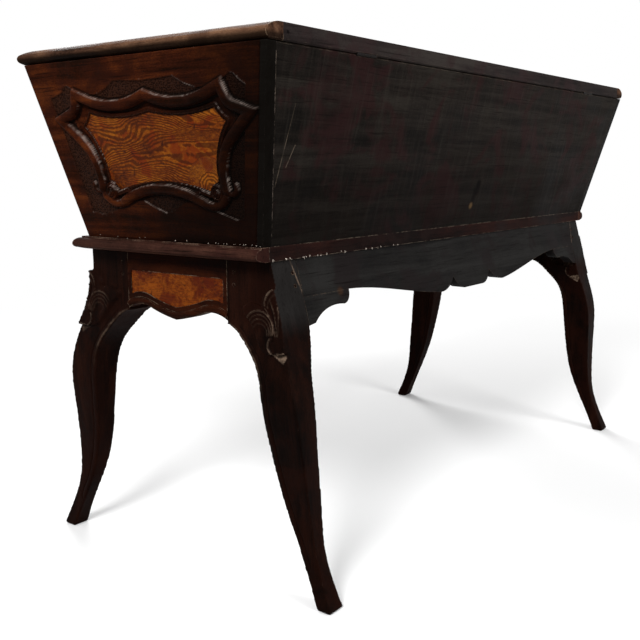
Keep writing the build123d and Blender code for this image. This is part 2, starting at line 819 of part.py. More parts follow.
front_field = (front_middle / 2, long_apron_half - apron_stile)
front_apron, front_apron_burl = carved_apron(
    long_apron_half, front_edge, [front_field, (-front_field[1], -front_field[0])],
    Plane((0, stand_front, 0), x_dir=(1, 0, 0), z_dir=(0, -1, 0)),
)
with BuildPart() as apron_front:
    add(front_apron)
    add(long_tenons(front_tenon_view))
    add(pegs(peg_play), mode=Mode.SUBTRACT)
    add(mirror(pegs(peg_play), about=Plane.YZ), mode=Mode.SUBTRACT)
save(apron_front, "apron_front")
with BuildPart() as apron_front_burl:
    add(front_apron_burl)
save(apron_front_burl, "apron_front_burl")

# The back apron leans with the legs and has a hook either side of a flat middle.
with BuildSketch() as back_outline:
    with BuildLine():
        for side in (1, -1):
            Spline(*edge_spots(long_apron_half, back_ramp, side))
            ThreePointArc(*edge_spots(long_apron_half, back_hook, side))
            ThreePointArc(*edge_spots(long_apron_half, back_tongue, side))
            middle = [back_tongue[-1], (0, back_tongue[-1][1])]
            Polyline(*edge_spots(long_apron_half, middle, side))
            beside_leg = [back_ramp[0], (1, back_ramp[0][1]), (1, 0), (0, 0)]
            Polyline(*edge_spots(long_apron_half, beside_leg, side))
    make_face()
with BuildPart() as apron_back:
    add(sawn(lean_view(0, apron), back_outline.sketch))
    add(long_tenons(back_tenon_view))
    add(pegs(peg_play), mode=Mode.SUBTRACT)
    add(mirror(pegs(peg_play), about=Plane.YZ), mode=Mode.SUBTRACT)
save(apron_back, "apron_back")

# Brackets fill the corners between the back apron and the legs.
with BuildSketch() as bracket_outline:
    with BuildLine():
        ThreePointArc(*edge_spots(long_apron_half, bracket_knob))
        Spline(*edge_spots(long_apron_half, bracket_brow))
        beside_leg = [bracket_brow[-1], (1, 1), (1, bracket_knob[0][1]), bracket_knob[0]]
        Polyline(*edge_spots(long_apron_half, beside_leg))
    make_face()
save_pair(sawn(lean_view(0, apron), bracket_outline.sketch), "bracket_back")
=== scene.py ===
import math

import bpy
import numpy as np
from mathutils import Matrix, Vector


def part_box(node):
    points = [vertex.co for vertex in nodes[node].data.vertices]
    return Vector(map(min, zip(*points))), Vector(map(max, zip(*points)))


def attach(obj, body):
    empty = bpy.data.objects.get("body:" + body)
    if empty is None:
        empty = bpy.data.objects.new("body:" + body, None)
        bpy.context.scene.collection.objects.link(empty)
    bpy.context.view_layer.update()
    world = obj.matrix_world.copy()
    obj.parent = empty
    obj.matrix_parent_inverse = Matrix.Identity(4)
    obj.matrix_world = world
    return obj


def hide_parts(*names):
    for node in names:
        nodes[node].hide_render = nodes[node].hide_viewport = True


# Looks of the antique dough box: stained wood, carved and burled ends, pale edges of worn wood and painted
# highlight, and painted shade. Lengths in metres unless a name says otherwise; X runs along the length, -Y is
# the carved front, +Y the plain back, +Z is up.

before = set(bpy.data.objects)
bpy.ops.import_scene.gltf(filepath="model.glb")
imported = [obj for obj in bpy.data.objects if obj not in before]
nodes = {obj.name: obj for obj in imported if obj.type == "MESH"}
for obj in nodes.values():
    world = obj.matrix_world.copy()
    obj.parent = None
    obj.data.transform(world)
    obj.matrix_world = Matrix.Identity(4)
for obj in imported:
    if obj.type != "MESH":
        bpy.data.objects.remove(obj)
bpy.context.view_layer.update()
MM = 0.001


# ---- camera, light and floor --------------------------------------------------------------------

# Fitted to the photograph: place, then turn, tilt and roll in degrees, lens and sensor in millimetres, shift.
camera_place = Vector((1.5116, 0.9705, 0.6258))
camera_turn, camera_tilt, camera_roll = (math.radians(a) for a in (216.869, -9.974, -0.135))
camera_lens, camera_sensor = 50.24, 36
camera_shift = (0.0075, 0.0034)

forward = Vector((
    math.cos(camera_turn) * math.cos(camera_tilt),
    math.sin(camera_turn) * math.cos(camera_tilt),
    math.sin(camera_tilt),
))
level_right = Vector((math.sin(camera_turn), -math.cos(camera_turn), 0))
level_up = level_right.cross(forward)
right = level_right * math.cos(camera_roll) + level_up * math.sin(camera_roll)
up = level_up * math.cos(camera_roll) - level_right * math.sin(camera_roll)

camera_data = bpy.data.cameras.new("camera")
camera_data.sensor_width = camera_sensor
camera_data.lens = camera_lens
camera_data.shift_x, camera_data.shift_y = camera_shift
camera = bpy.data.objects.new("camera", camera_data)
camera.matrix_world = Matrix((
    (right.x, up.x, -forward.x, camera_place.x),
    (right.y, up.y, -forward.y, camera_place.y),
    (right.z, up.z, -forward.z, camera_place.z),
    (0, 0, 0, 1),
))
bpy.context.scene.collection.objects.link(camera)
bpy.context.scene.camera = camera
bpy.context.scene.view_settings.view_transform = "Standard"


def colour(code):
    """Linear RGBA of a colour written as #rrggbb."""
    shares = [int(code[i:i + 2], 16) / 255 for i in (1, 3, 5)]
    return tuple(s / 12.92 if s <= 0.04045 else ((s + 0.055) / 1.055) ** 2.4 for s in shares) + (1.0,)


class Shader:
    """A node tree and short ways to add to it. A value is a number, a tuple or another node's socket."""

    def __init__(self, tree):
        self.tree = tree
        tree.nodes.clear()

    def set(self, socket, value):
        if isinstance(value, bpy.types.NodeSocket):
            self.tree.links.new(value, socket)
        else:
            socket.default_value = value

    def node(self, kind, inputs=None, **settings):
        made = self.tree.nodes.new("ShaderNode" + kind)
        for name, value in settings.items():
            setattr(made, name, value)
        for name, value in (inputs or {}).items():
            self.set(made.inputs[name], value)
        return made

    def math(self, operation, a, b=0.0, clamp=False):
        return self.node("Math", {0: a, 1: b}, operation=operation, use_clamp=clamp).outputs[0]

    def scaled(self, vector, scale):
        return self.node("Mapping", {"Vector": vector, "Scale": scale}).outputs[0]

    def noise(self, vector, scale, detail=3.0, roughness=0.5, distortion=0.0):
        made = self.node("TexNoise", {
            "Vector": vector, "Scale": scale, "Detail": detail, "Roughness": roughness,
            "Distortion": distortion,
        })
        return made.outputs["Fac"]

    def between(self, value, low, high, to_low=0.0, to_high=1.0):
        """The value's place between low and high, clamped, as a share from to_low to to_high."""
        made = self.node("MapRange", {
            "Value": value, "From Min": low, "From Max": high, "To Min": to_low, "To Max": to_high,
        }, interpolation_type="SMOOTHSTEP")
        return made.outputs["Result"]

    def mix(self, share, a, b, blend="MIX"):
        made = self.node("Mix", {"Factor": share}, data_type="RGBA", blend_type=blend)
        self.set(made.inputs["A"], a)
        self.set(made.inputs["B"], b)
        return made.outputs["Result"]

    def ramp(self, value, *stops):
        made = self.node("ValToRGB", {"Fac": value})
        band = made.color_ramp.elements
        while len(band) < len(stops):
            band.new(0.5)
        for element, (place, code) in zip(band, stops):
            element.position = place
            element.color = colour(code)
        return made.outputs["Color"]

    def vector(self, operation, a, b=(0, 0, 0), output="Vector"):
        return self.node("VectorMath", {0: a, 1: b}, operation=operation).outputs[output]

    def segment(self, place, start, end):
        """Distance from a place to the straight line between two points."""
        start, step = Vector(start), Vector(end) - Vector(start)
        away = self.vector("SUBTRACT", place, tuple(start))
        share = self.vector("DOT_PRODUCT", away, tuple(step / step.length_squared), output="Value")
        share = self.math("ADD", share, 0.0, clamp=True)
        on_line = self.node("VectorMath", {0: tuple(step), "Scale": share}, operation="SCALE")
        return self.vector("DISTANCE", away, on_line.outputs["Vector"], output="Value")

    def attribute(self, name):
        return self.node("Attribute", attribute_name=name).outputs["Fac"]

    def bump(self, height, strength, distance, normal=None):
        inputs = {"Height": height, "Strength": strength, "Distance": distance}
        if normal:
            inputs["Normal"] = normal
        return self.node("Bump", inputs).outputs["Normal"]

    def shows_background(self):
        """1 for the rays that see the background: the camera's own, and those by way of gloss or glass."""
        rays = self.node("LightPath").outputs
        seen = self.math("MAXIMUM", rays["Is Camera Ray"], rays["Is Glossy Ray"])
        return self.math("MAXIMUM", seen, rays["Is Transmission Ray"])


def new_material(name):
    material = bpy.data.materials.new(name)
    material.use_nodes = True
    return material, Shader(material.node_tree)


def surface(shader, base, roughness, normal, **fixed):
    """Principled surface, with the numbers that are the same all over set on its own sockets."""
    inputs = {"Base Color": base, "Roughness": roughness, "Normal": normal}
    body = shader.node("BsdfPrincipled", inputs)
    for name, value in fixed.items():
        body.inputs[name.replace("_", " ")].default_value = value
    shader.tree.links.new(body.outputs[0], shader.node("OutputMaterial").inputs["Surface"])


world = bpy.data.worlds.new("world")
bpy.context.scene.world = world
world.use_nodes = True
sky = Shader(world.node_tree)
ambient = 0.36                              # strength of the sky as a light; where it shows, it is white
strength = sky.math("MULTIPLY_ADD", sky.shows_background(), 1 - ambient)
strength.node.inputs[2].default_value = ambient
background = sky.node("Background", {"Color": (1, 1, 1, 1), "Strength": strength})
sky.tree.links.new(background.outputs[0], sky.node("OutputWorld").inputs["Surface"])


def softbox(name, place, target, width, power):
    """Round area lamp aimed at a target, with its width in metres and its power in watts."""
    data = bpy.data.lights.new(name, "AREA")
    data.shape = "DISK"
    data.size = width
    data.energy = power
    lamp = bpy.data.objects.new(name, data)
    lamp.location = place
    lamp.rotation_mode = "QUATERNION"
    lamp.rotation_quaternion = (Vector(target) - Vector(place)).to_track_quat("-Z", "Y")
    bpy.context.scene.collection.objects.link(lamp)


middle = (0, 0, 0.45)
softbox("key_light", (2.9, 0.8, 2.4), (0.5, 0, 0.55), 1.1, 95)
softbox("fill_light", (0.5, 3.9, 2.1), middle, 2.0, 95)
softbox("front_light", (-2.4, -3.4, 2.6), middle, 2.4, 150)


def flat_mesh(name, corners):
    mesh = bpy.data.meshes.new(name)
    mesh.from_pydata(corners, [], [tuple(range(len(corners)))])
    piece = bpy.data.objects.new(name, mesh)
    bpy.context.scene.collection.objects.link(piece)
    return piece


floor_reach = 60.0
floor_fade = (0.9, 2.6)                     # distances from the origin between which it turns plain white
floor_bounce = colour("#8c8c8c")            # the floor as other surfaces see it, darker than it shows


def floor_looks(name):
    """Pale matt floor that keeps the object's shadow and is plain white further off."""
    material, s = new_material(name)
    place = s.node("TexCoord").outputs["Object"]
    tone = s.noise(place, 0.8)
    seen = s.shows_background()
    base = s.mix(seen, floor_bounce, s.ramp(tone, (0.3, "#f8f8f8"), (0.7, "#fdfdfd")))
    body = s.node("BsdfDiffuse", {"Color": base, "Normal": s.bump(tone, 0.02, 0.01)})
    away = s.vector("LENGTH", place, output="Value")
    white_share = s.math("MULTIPLY", s.between(away, *floor_fade), seen)
    white = s.node("Emission", {"Color": (1, 1, 1, 1), "Strength": 1.0})
    mixed = s.node("MixShader", {0: white_share, 1: body.outputs[0], 2: white.outputs[0]})
    s.tree.links.new(mixed.outputs[0], s.node("OutputMaterial").inputs["Surface"])
    return material


floor = flat_mesh("floor", [
    (-floor_reach, -floor_reach, 0), (floor_reach, -floor_reach, 0),
    (floor_reach, floor_reach, 0), (-floor_reach, floor_reach, 0),
])
floor.data.materials.append(floor_looks("floor"))


# ---- materials ----------------------------------------------------------------------------------

GRAIN = {"x": (1.0, 18.0, 18.0), "y": (18.0, 1.0, 18.0), "z": (18.0, 18.0, 1.0)}
# the first is near black, for pores, for painted shade and for darkened hollows
PORE_AND_SHADE_BLACK, TOOL_MARK, BARE_PORE = colour("#050302"), colour("#37322d"), colour("#22170f")
BARE_WOOD = ((0.36, "#33241a"), (0.5, "#4a3626"), (0.66, "#634b35"))
BARE_FADE = 0.006                           # over which bare wood ends at its reach
INSIDE_ONLY = ((0, 0, 0), 1.0)              # raw where nothing but the piece's inside attribute says so
EDGE_REACH = 0.0018                         # how far pale worn wood and painted highlight reach round a sharp edge
SCRATCH_HALF, SCRATCH_CORE = 0.0011, 0.0003
PUNCHES = 360.0                             # punch marks to a metre of carved ground
WOOD_GLOSS = 0.012                          # low, as the surroundings that gloss would show are white


def wear_and_highlight_share(s, place, wear_and_highlight, scratches):
    """Share of pale wood, worn and painted highlight: on sharp edges, where the piece's scuff attribute
    says, and in scratches.
    """
    pale_breakup = s.between(s.noise(place, 55.0, 5.0, 0.72), 0.42, 0.62)
    facing = s.node("NewGeometry").outputs["Normal"]
    bevelled = s.node("Bevel", {"Radius": EDGE_REACH}, samples=6).outputs["Normal"]
    bend = s.vector("DOT_PRODUCT", facing, bevelled, output="Value")
    edge = s.math("MULTIPLY", s.between(bend, 0.985, 0.80), pale_breakup)
    scuffed_and_highlit = s.math("MULTIPLY", s.attribute("scuff_and_highlight"), s.between(pale_breakup, 0.0, 1.0, 0.25, 1.0))
    for start, end in scratches:
        line = s.between(s.segment(place, start, end), SCRATCH_HALF, SCRATCH_CORE)
        scuffed_and_highlit = s.math("MAXIMUM", scuffed_and_highlit, s.math("MULTIPLY", line, s.between(pale_breakup, 0.0, 0.6, 0.2, 0.8)))
    return s.math("MULTIPLY", s.math("MAXIMUM", edge, scuffed_and_highlit), wear_and_highlight, clamp=True)


def bare_share(s, place, way, reach):
    """Share of wood that was never stained: where the piece's inside attribute says, and on faces turned to a
    way, as far as a reach from the middle on Y."""
    turned = s.vector("DOT_PRODUCT", s.node("TexCoord").outputs["Normal"], way, output="Value")
    off_middle = s.math("ABSOLUTE", s.node("SeparateXYZ", {0: place}).outputs["Y"])
    within = s.between(off_middle, reach, reach - BARE_FADE)
    return s.math("MAXIMUM", s.attribute("inside"), s.math("MULTIPLY", s.between(turned, 0.4, 0.6), within))


def wood(name, axis, dark, mid, light, worn_and_highlight, wear_and_highlight=0.5, roughness=0.55, tint=None, marks=0.0, ground=None,
         raw=None, painted_shade=None, paint=None, scratches=(), spots_at=()):
    """Old stained wood: streaks and pores along the grain, blotches, patches of another tint, pale edges of
    worn wood and painted highlight, and darkening in the hollows. marks is the depth of tool marks. ground
    and paint each have two colours, for punched ground and for painted places. Faces turned to the way in raw
    are bare wood, to its reach on Y. The argument after raw gives a way and two distances along it, between
    which the wood turns black as painted shade. Scratches run between pairs of places, and a spot has a
    place, a reach and a colour."""
    material, s = new_material(name)
    place = s.node("TexCoord").outputs["Object"]
    grain = GRAIN[axis]
    along = s.scaled(place, grain)
    streaks = s.noise(along, 2.6, 7.0, 0.66, 0.5)
    pores = s.noise(s.scaled(along, tuple(2.6 if g == 1.0 else 5.0 for g in grain)), 5.0, 2.0, 0.6)
    blotches = s.noise(place, 8.0, 5.0, 0.62, 0.4)
    fine = s.noise(s.scaled(place, tuple(1.0 + g / 9 for g in grain)), 260.0, 3.0, 0.7)
    tone = s.math("ADD", s.math("MULTIPLY", streaks, 0.45), s.math("MULTIPLY", blotches, 0.35))
    tone = s.math("ADD", tone, s.math("MULTIPLY", fine, 0.2))
    base = s.ramp(tone, (0.42, dark), (0.5, mid), (0.59, light))
    if tint:
        patches = s.between(s.noise(place, 11.0, 4.0, 0.6, 0.8), 0.47, 0.62, 0.0, 0.7)
        base = s.mix(patches, base, colour(tint))
    if marks:
        chatter = s.noise(s.scaled(place, (9.0, 1.0, 0.9)), 9.0, 5.0, 0.66, 0.5)
        base = s.mix(s.between(chatter, 0.46, 0.72, 0.0, 0.28), base, TOOL_MARK)
    for centre, reach, code in spots_at:
        ragged = s.math("MULTIPLY", s.math("SUBTRACT", streaks, 0.5), reach * 0.6)
        from_spot = s.math("ADD", s.vector("DISTANCE", place, centre, output="Value"), ragged)
        base = s.mix(s.between(from_spot, reach, reach * 0.3, 0.0, 0.9), base, colour(code))
    if paint:
        base = s.mix(s.attribute("painted"), base, s.ramp(tone, (0.4, paint[0]), (0.6, paint[1])))
    pits = s.between(pores, 0.30, 0.42, 1.0, 0.0)
    base = s.mix(s.math("MULTIPLY", pits, 0.6), base, PORE_AND_SHADE_BLACK)

    stipple = s.attribute("stipple")
    if ground:
        punches = s.node("TexVoronoi", {"Vector": place, "Scale": PUNCHES, "Randomness": 0.9})
        dots = punches.outputs["Distance"]
        spotted = s.mix(s.between(dots, 0.22, 0.6), colour(ground[0]), colour(ground[1]))
        base = s.mix(s.math("MULTIPLY", stipple, 0.9), base, spotted)
    # painted shade: the wood turns black along the given way
    if painted_shade:
        way, unshaded, black = painted_shade
        ragged = s.math("MULTIPLY", s.math("SUBTRACT", blotches, 0.5), 0.4 * abs(black - unshaded))
        depth = s.math("ADD", s.vector("DOT_PRODUCT", place, way, output="Value"), ragged)
        base = s.mix(s.between(depth, unshaded, black, 0.0, 0.85), base, PORE_AND_SHADE_BLACK)
    # darker where the surface lies below the points round it
    base = s.mix(s.between(s.attribute("crest"), -0.15, -1.2, 0.0, 0.75), base, PORE_AND_SHADE_BLACK)
    # pale edges and scuffs: worn wood and painted highlight
    base = s.mix(wear_and_highlight_share(s, place, wear_and_highlight, scratches), base, colour(worn_and_highlight))

    height = s.math("ADD", s.math("MULTIPLY", pores, 0.5), s.math("MULTIPLY", streaks, 0.6))
    if marks:
        height = s.math("ADD", height, s.math("MULTIPLY", chatter, marks))
    normal = s.bump(height, 0.4, 0.0014)
    if ground:
        normal = s.bump(s.math("MULTIPLY", dots, stipple), 0.9, 0.0018, normal)
    if raw:
        bare = s.mix(s.math("MULTIPLY", pits, 0.4), s.ramp(tone, *BARE_WOOD), BARE_PORE)
        base = s.mix(bare_share(s, place, *raw), base, bare)
    polish = s.between(blotches, 0.3, 0.7, roughness - 0.1, roughness + 0.12)
    surface(s, base, polish, normal, Specular_IOR_Level=WOOD_GLOSS)
    return material


KNOTS = [(0.112, 0.592, 0.046), (-0.088, 0.590, 0.026)]     # places on Y and Z, and reach


def burl(name, pitch, figure, dark, mid, light, red):
    """Polished burl veneer with red patches. Dark lines about a pitch apart, as strong as figure says, follow
    swirling contours and ring the knots."""
    material, s = new_material(name)
    place = s.node("TexCoord").outputs["Object"]
    flat = s.scaled(place, (1.0, 0.42, 1.0))
    swirl = s.noise(flat, 11.0, 1.5, 0.5, 0.9)
    waver = s.noise(place, 60.0, 3.0, 0.6)
    height = s.node("SeparateXYZ", {0: place}).outputs["Z"]
    wander = s.math("ADD", s.math("MULTIPLY", swirl, 0.22), s.math("MULTIPLY", waver, 0.007))
    level = s.math("ADD", height, wander)
    side = s.scaled(place, (0.0, 1.0, 1.0))
    for y, z, reach in KNOTS:
        away = s.vector("DISTANCE", side, (0, y, z), output="Value")
        share = s.between(away, reach, reach * 0.55)
        rings = s.math("ADD", away, s.math("MULTIPLY", waver, 0.012))
        outside = s.math("MULTIPLY", level, s.math("SUBTRACT", 1.0, share))
        level = s.math("ADD", outside, s.math("MULTIPLY", rings, share))
    lines = s.math("SINE", s.math("MULTIPLY", level, 2 * math.pi / pitch))
    stretched = s.scaled(place, (1.0, 0.5, 1.0))
    broken = s.noise(stretched, 42.0, 4.0, 0.65)
    lines = s.between(s.math("ADD", lines, s.math("MULTIPLY", broken, 2.2)), 1.75, 0.55)
    glow = s.noise(flat, 17.0, 4.0, 0.6, 0.5)
    fine = s.noise(stretched, 330.0, 3.0, 0.65)
    tone = s.math("ADD", s.math("MULTIPLY", glow, 0.65), s.math("MULTIPLY", fine, 0.35))
    base = s.ramp(tone, (0.38, dark), (0.48, mid), (0.58, light))
    base = s.mix(s.between(s.noise(place, 26.0, 4.0, 0.6, 0.6), 0.50, 0.62, 0.0, 0.8), base, colour(red))
    base = s.mix(s.math("MULTIPLY", lines, figure), base, colour(dark))
    eyes = s.between(s.noise(place, 75.0, 3.0, 0.5, 0.7), 0.64, 0.72)
    base = s.mix(s.math("MULTIPLY", eyes, 0.8), base, colour("#2a0f08"))
    normal = s.bump(s.math("SUBTRACT", fine, s.math("MULTIPLY", lines, 0.6)), 0.25, 0.0005)
    surface(s, base, s.between(glow, 0.3, 0.7, 0.3, 0.45), normal, Specular_IOR_Level=0.04)
    return material


def metal(name):
    material, s = new_material(name)
    place = s.node("TexCoord").outputs["Object"]
    rust = s.noise(place, 220.0, 5.0, 0.65)
    base = s.ramp(rust, (0.35, "#0c0a09"), (0.55, "#191513"), (0.72, "#33211a"))
    surface(s, base, s.between(rust, 0.3, 0.7, 0.5, 0.8), s.bump(rust, 0.4, 0.0004), Metallic=0.25,
            Specular_IOR_Level=0.05)
    return material


BACK_SCRATCHES = [
    ((0.570, 0.234, 0.705), (0.578, 0.219, 0.645)), ((0.578, 0.219, 0.645), (0.584, 0.208, 0.597)),
    ((0.556, 0.221, 0.652), (0.568, 0.214, 0.623)), ((0.40, 0.245, 0.740), (0.31, 0.240, 0.722)),
    ((0.12, 0.225, 0.655), (-0.06, 0.222, 0.648)), ((-0.30, 0.235, 0.70), (-0.34, 0.224, 0.66)),
]
BACK_KNOT = [
    ((-0.014, 0.208, 0.590), 0.013, "#040202"), ((-0.010, 0.204, 0.577), 0.014, "#040202"),
    ((-0.005, 0.200, 0.564), 0.012, "#070403"), ((-0.002, 0.197, 0.551), 0.009, "#7d6243"),
]
# painted shade: the back board turns darker towards the bottom
back_wood = wood(
    "back_wood", "x", "#0d0b09", "#1d1916", "#2b2723", "#77695a", wear_and_highlight=0.7, tint="#2a1717", marks=0.9,
    raw=((0, -1.0, 0), 1.0), painted_shade=((0, 0, -1.0), -0.74, -0.42), scratches=BACK_SCRATCHES, spots_at=BACK_KNOT,
)
apron_wood = wood(
    "apron_wood", "x", "#111010", "#1c1b1a", "#252423", "#7b6a58", wear_and_highlight=0.3, tint="#1b1616",
    spots_at=[((0.423, 0.212, 0.4415), 0.015, "#4e3420")],
)
end_looks = dict(
    dark="#150702", mid="#321409", light="#522710", worn_and_highlight="#8e8078", wear_and_highlight=0.85, tint="#260f08",
    ground=("#0a0504", "#2d1a12"), raw=INSIDE_ONLY,
)
# painted shade: the end boards turn darker towards the back and the foot
end_wood = wood(
    "end_wood", "y", painted_shade=((0, 1.0, -0.9), -0.68, -0.40), paint=("#171512", "#2a2824"), **end_looks,
)
front_wood = wood("front_wood", "x", **end_looks)
leg_wood = wood(
    "leg_wood", "z", "#070302", "#140805", "#22100a", "#85705f", wear_and_highlight=0.75, tint="#190905",
    paint=("#1a1817", "#242221"),
)
apron_looks = dict(dark="#0b0504", mid="#1c0b06", light="#2f1409", worn_and_highlight="#94806c", wear_and_highlight=0.8, tint="#190805")
apron_end_wood = wood("apron_end_wood", "y", **apron_looks)
apron_front_wood = wood("apron_front_wood", "x", **apron_looks)
lid_wood = wood(
    "lid_wood", "x", "#151110", "#272120", "#35302d", "#7e6f60", wear_and_highlight=0.6, tint="#2d2020",
    raw=((0, 0, -1.0), 0.232), spots_at=[((0.608, 0.2516, 0.789), 0.0035, "#020101")],
)
# painted shadow: the lid's end mouldings turn black along their lower edge, under the overhang
lid_end_wood = wood(
    "lid_end_wood", "y", "#21140d", "#4f3628", "#755640", "#a58a70", wear_and_highlight=0.7, tint="#3a251b",
    painted_shade=((0, 0, -1.0), -0.7915, -0.783),
)
base_wood = wood("base_wood", "x", "#150c0a", "#301b16", "#422821", "#8a7565", wear_and_highlight=0.7, tint="#2a1311")
base_end_wood = wood(
    "base_end_wood", "y", "#170d09", "#341f19", "#492f25", "#957b68", wear_and_highlight=0.7, tint="#2c1714",
)
bottom_wood = wood(
    "bottom_wood", "x", "#0d0706", "#1d100e", "#2a1814", "#a39382", wear_and_highlight=0.5, tint="#1b1210",
    raw=((0, 0, 1.0), 0.165),
)
raw_wood = wood("raw_wood", "x", "#3d2a1a", "#5b432b", "#785c3e", "#8d7353", wear_and_highlight=0.3, roughness=0.7)
end_burl = burl("end_burl", 0.0052, 0.75, "#331204", "#6c320a", "#8f5014", "#682408")
apron_burl = burl("apron_burl", 0.0045, 0.25, "#220a03", "#5a2306", "#7e3f0e", "#4c1605")
iron = metal("iron")

finishes = {
    "back_board": back_wood, "front_board": front_wood, "end_board": end_wood, "bottom_board": bottom_wood,
    "end_cartouche": end_wood, "front_cartouche": front_wood,
    "end_burl_panel": end_burl, "front_burl_panel": end_burl,
    "apron_end_burl": apron_burl, "apron_front_burl": apron_burl,
    "apron_end": apron_end_wood, "apron_front": apron_front_wood, "apron_back": apron_wood,
    "bracket_back": apron_wood, "leg_back": leg_wood, "leg_front": leg_wood,
    "lid_board": lid_wood, "lid_moulding": lid_end_wood, "lid_moulding_front": lid_wood,
    "base_moulding": base_end_wood, "base_moulding_front": base_wood,
    "stand_pegs": leg_wood, "trough_dowels": raw_wood, "hinge": iron,
}
for name, node in nodes.items():
    stem = max((key for key in finishes if name.startswith(key)), key=len)
    for slot in node.material_slots:
        slot.material = finishes[stem]


# ---- shaped pieces ------------------------------------------------------------------------------

def add_piece(name, points, faces, material, body, slot, *replaced, values=None, smooth=True):
    """Mesh piece that rides on a body and stands for CAD nodes. values holds a number per point by name."""
    mesh = bpy.data.meshes.new(name)
    mesh.from_pydata([tuple(p) for p in points], [], faces)
    for key, numbers in (values or {}).items():
        mesh.attributes.new(key, "FLOAT", "POINT").data.foreach_set("value", numbers.astype(np.float32))
    mesh.materials.append(material)
    mesh.update()
    if smooth:
        mesh.shade_smooth()
    piece = bpy.data.objects.new(name, mesh)
    bpy.context.scene.collection.objects.link(piece)
    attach(piece, body)
    if replaced:
        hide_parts(*replaced)
    return piece


def three_point_arc(start, mid, end, count=40):
    """Points along the circle through three points, from the first to the last."""
    (ax, ay), (bx, by), (cx, cy) = start, mid, end
    d = 2 * (ax * (by - cy) + bx * (cy - ay) + cx * (ay - by))
    a, b, c = ax * ax + ay * ay, bx * bx + by * by, cx * cx + cy * cy
    centre = np.array([(a * (by - cy) + b * (cy - ay) + c * (ay - by)) / d,
                       (a * (cx - bx) + b * (ax - cx) + c * (bx - ax)) / d])
    first, middle, last = (math.atan2(*(np.array(p) - centre)[::-1]) for p in (start, mid, end))
    turn = (last - first) % (2 * math.pi)
    if (middle - first) % (2 * math.pi) > turn:
        turn -= 2 * math.pi
    angles = first + np.linspace(0, 1, count) * turn
    return centre + math.dist(start, centre) * np.column_stack([np.cos(angles), np.sin(angles)])


def distance(points, line):
    """Distance from each point to a line of short straight pieces."""
    nearest = np.full(len(points), np.inf)
    for a, b in zip(line, line[1:]):
        step = b - a
        share = np.clip(((points - a) @ step) / max(step @ step, 1e-12), 0, 1)
        nearest = np.minimum(nearest, np.linalg.norm(points - a - share[:, None] * step, axis=1))
    return nearest


def inside(points, line):
    """True for the points within a closed outline."""
    x, y = points.T
    within = np.zeros(len(points), bool)
    for (ax, ay), (bx, by) in zip(line, np.roll(line, -1, axis=0)):
        crosses = (ay > y) != (by > y)
        within ^= crosses & (x < (bx - ax) * (y - ay) / (by - ay + 1e-12) + ax)
    return within


def outside_by(points, line):
    """Distance to a closed outline, less than nothing within it."""
    gap = distance(points, np.vstack([line, line[:1]]))
    return np.where(inside(points, line), -gap, gap)


def rise_between(value, low, high):
    """The value's place between low and high, as a smooth share from 0 to 1."""
    share = np.clip((value - low) / (high - low), 0, 1)
    return share * share * (3 - 2 * share)


def ridge(gap, half_width, height):
    """Half-round section."""
    return height * np.sqrt(np.clip(1 - (gap / half_width) ** 2, 0, None))


def ripple(points, pitch, seed):
    """Gentle unevenness of hand work, about -1 to 1, with features a pitch apart."""
    rng = np.random.default_rng(seed)
    total = np.zeros(len(points))
    for _ in range(9):
        turn = rng.uniform(0, 2 * math.pi)
        way = np.array([math.cos(turn), math.sin(turn)]) * 2 * math.pi / (pitch * rng.uniform(0.7, 1.6))
        total += np.sin(points @ way + rng.uniform(0, 2 * math.pi))
    return total / 4


def blurred(grid, reach):
    """Mean of a grid over a square that reaches that many cells each way."""
    for axis in (0, 1):
        padded = np.pad(grid, [(reach + 1, reach) if a == axis else (0, 0) for a in (0, 1)], mode="edge")
        sums = np.cumsum(padded, axis=axis)
        size = 2 * reach + 1
        high, low = (np.take(sums, range(start, start + grid.shape[axis]), axis=axis) for start in (size, 0))
        grid = (high - low) / size
    return grid


# ---- carved boards, in millimetres on the board: sideways from its middle, and up its slope ------

CARTOUCHE = (377.0, 164.0, 55.0)            # width, height, and rise above the foot of the board
ROLL_ARCS = [
    ((0.67, 0.15), (0.70, 0.427), (0.815, 0.60)),
    ((0.875, 0.83), (0.82, 0.869), (0.79, 0.925)),
    ((0.647, 0.951), (0.371, 0.888), (0.069, 0.939)),
]
ROLL_FOOT = ((-0.44, 0.03), (0.0, 0.149), (0.44, 0.03))
ROLL_CURL = ((0.44, 0.03), (0.58, 0.02), (0.655, 0.09))
SIDE_CURL = ((0.67, 0.15), (0.715, 0.115), (0.765, 0.19))
VOLUTE = (0.575, 0.12)
FIELD_ARCS = [
    ((0.0, 0.815), (0.365, 0.774), (0.663, 0.824)),
    ((0.663, 0.824), (0.70, 0.76), (0.75, 0.714)),
    ((0.75, 0.714), (0.63, 0.50), (0.585, 0.22)),
    ((0.585, 0.22), (0.535, 0.18), (0.50, 0.122)),
]
FIELD_FOOT = ((0.50, 0.122), (0.0, 0.213), (-0.50, 0.122))
GROUND_TOP = [(-0.05, 233), (60, 236), (79, 225), (98, 219), (135, 219), (162, 234), (169, 233), (178, 224)]
GROUND_FOOT = [(0.0, 42), (22, 50), (44, 60), (80, 60), (101, 47), (116, 42), (137, 36)]
GROUND_HIGH, GROUND_LOW = 217, 40           # heights of the ground's side corners
GROUND_DEPTH = 1.3
CARVING_REACH = 260                         # nothing of a carving lies further from its middle
CARVED = 0.3                                # what rises or sinks by less is plain ground
HOLLOW_DEPTH, FIELD_DEPTH = 3.0, 4.6        # of the board within the rolls, and of the burl field
BEADS = [(2.0, 2.0, 3.2), (5.6, 1.8, 2.6)]  # round the field: place out from it, half width, height
ROLL, FOOT_ROLL, CURL, HOOK = (8.2, 8.0), (8.0, 8.0), (6.5, 7.0), (4.0, 5.0)    # half widths and heights
MITRE_RUN = 40                              # how far a roll's line runs on past the mitre that cuts it
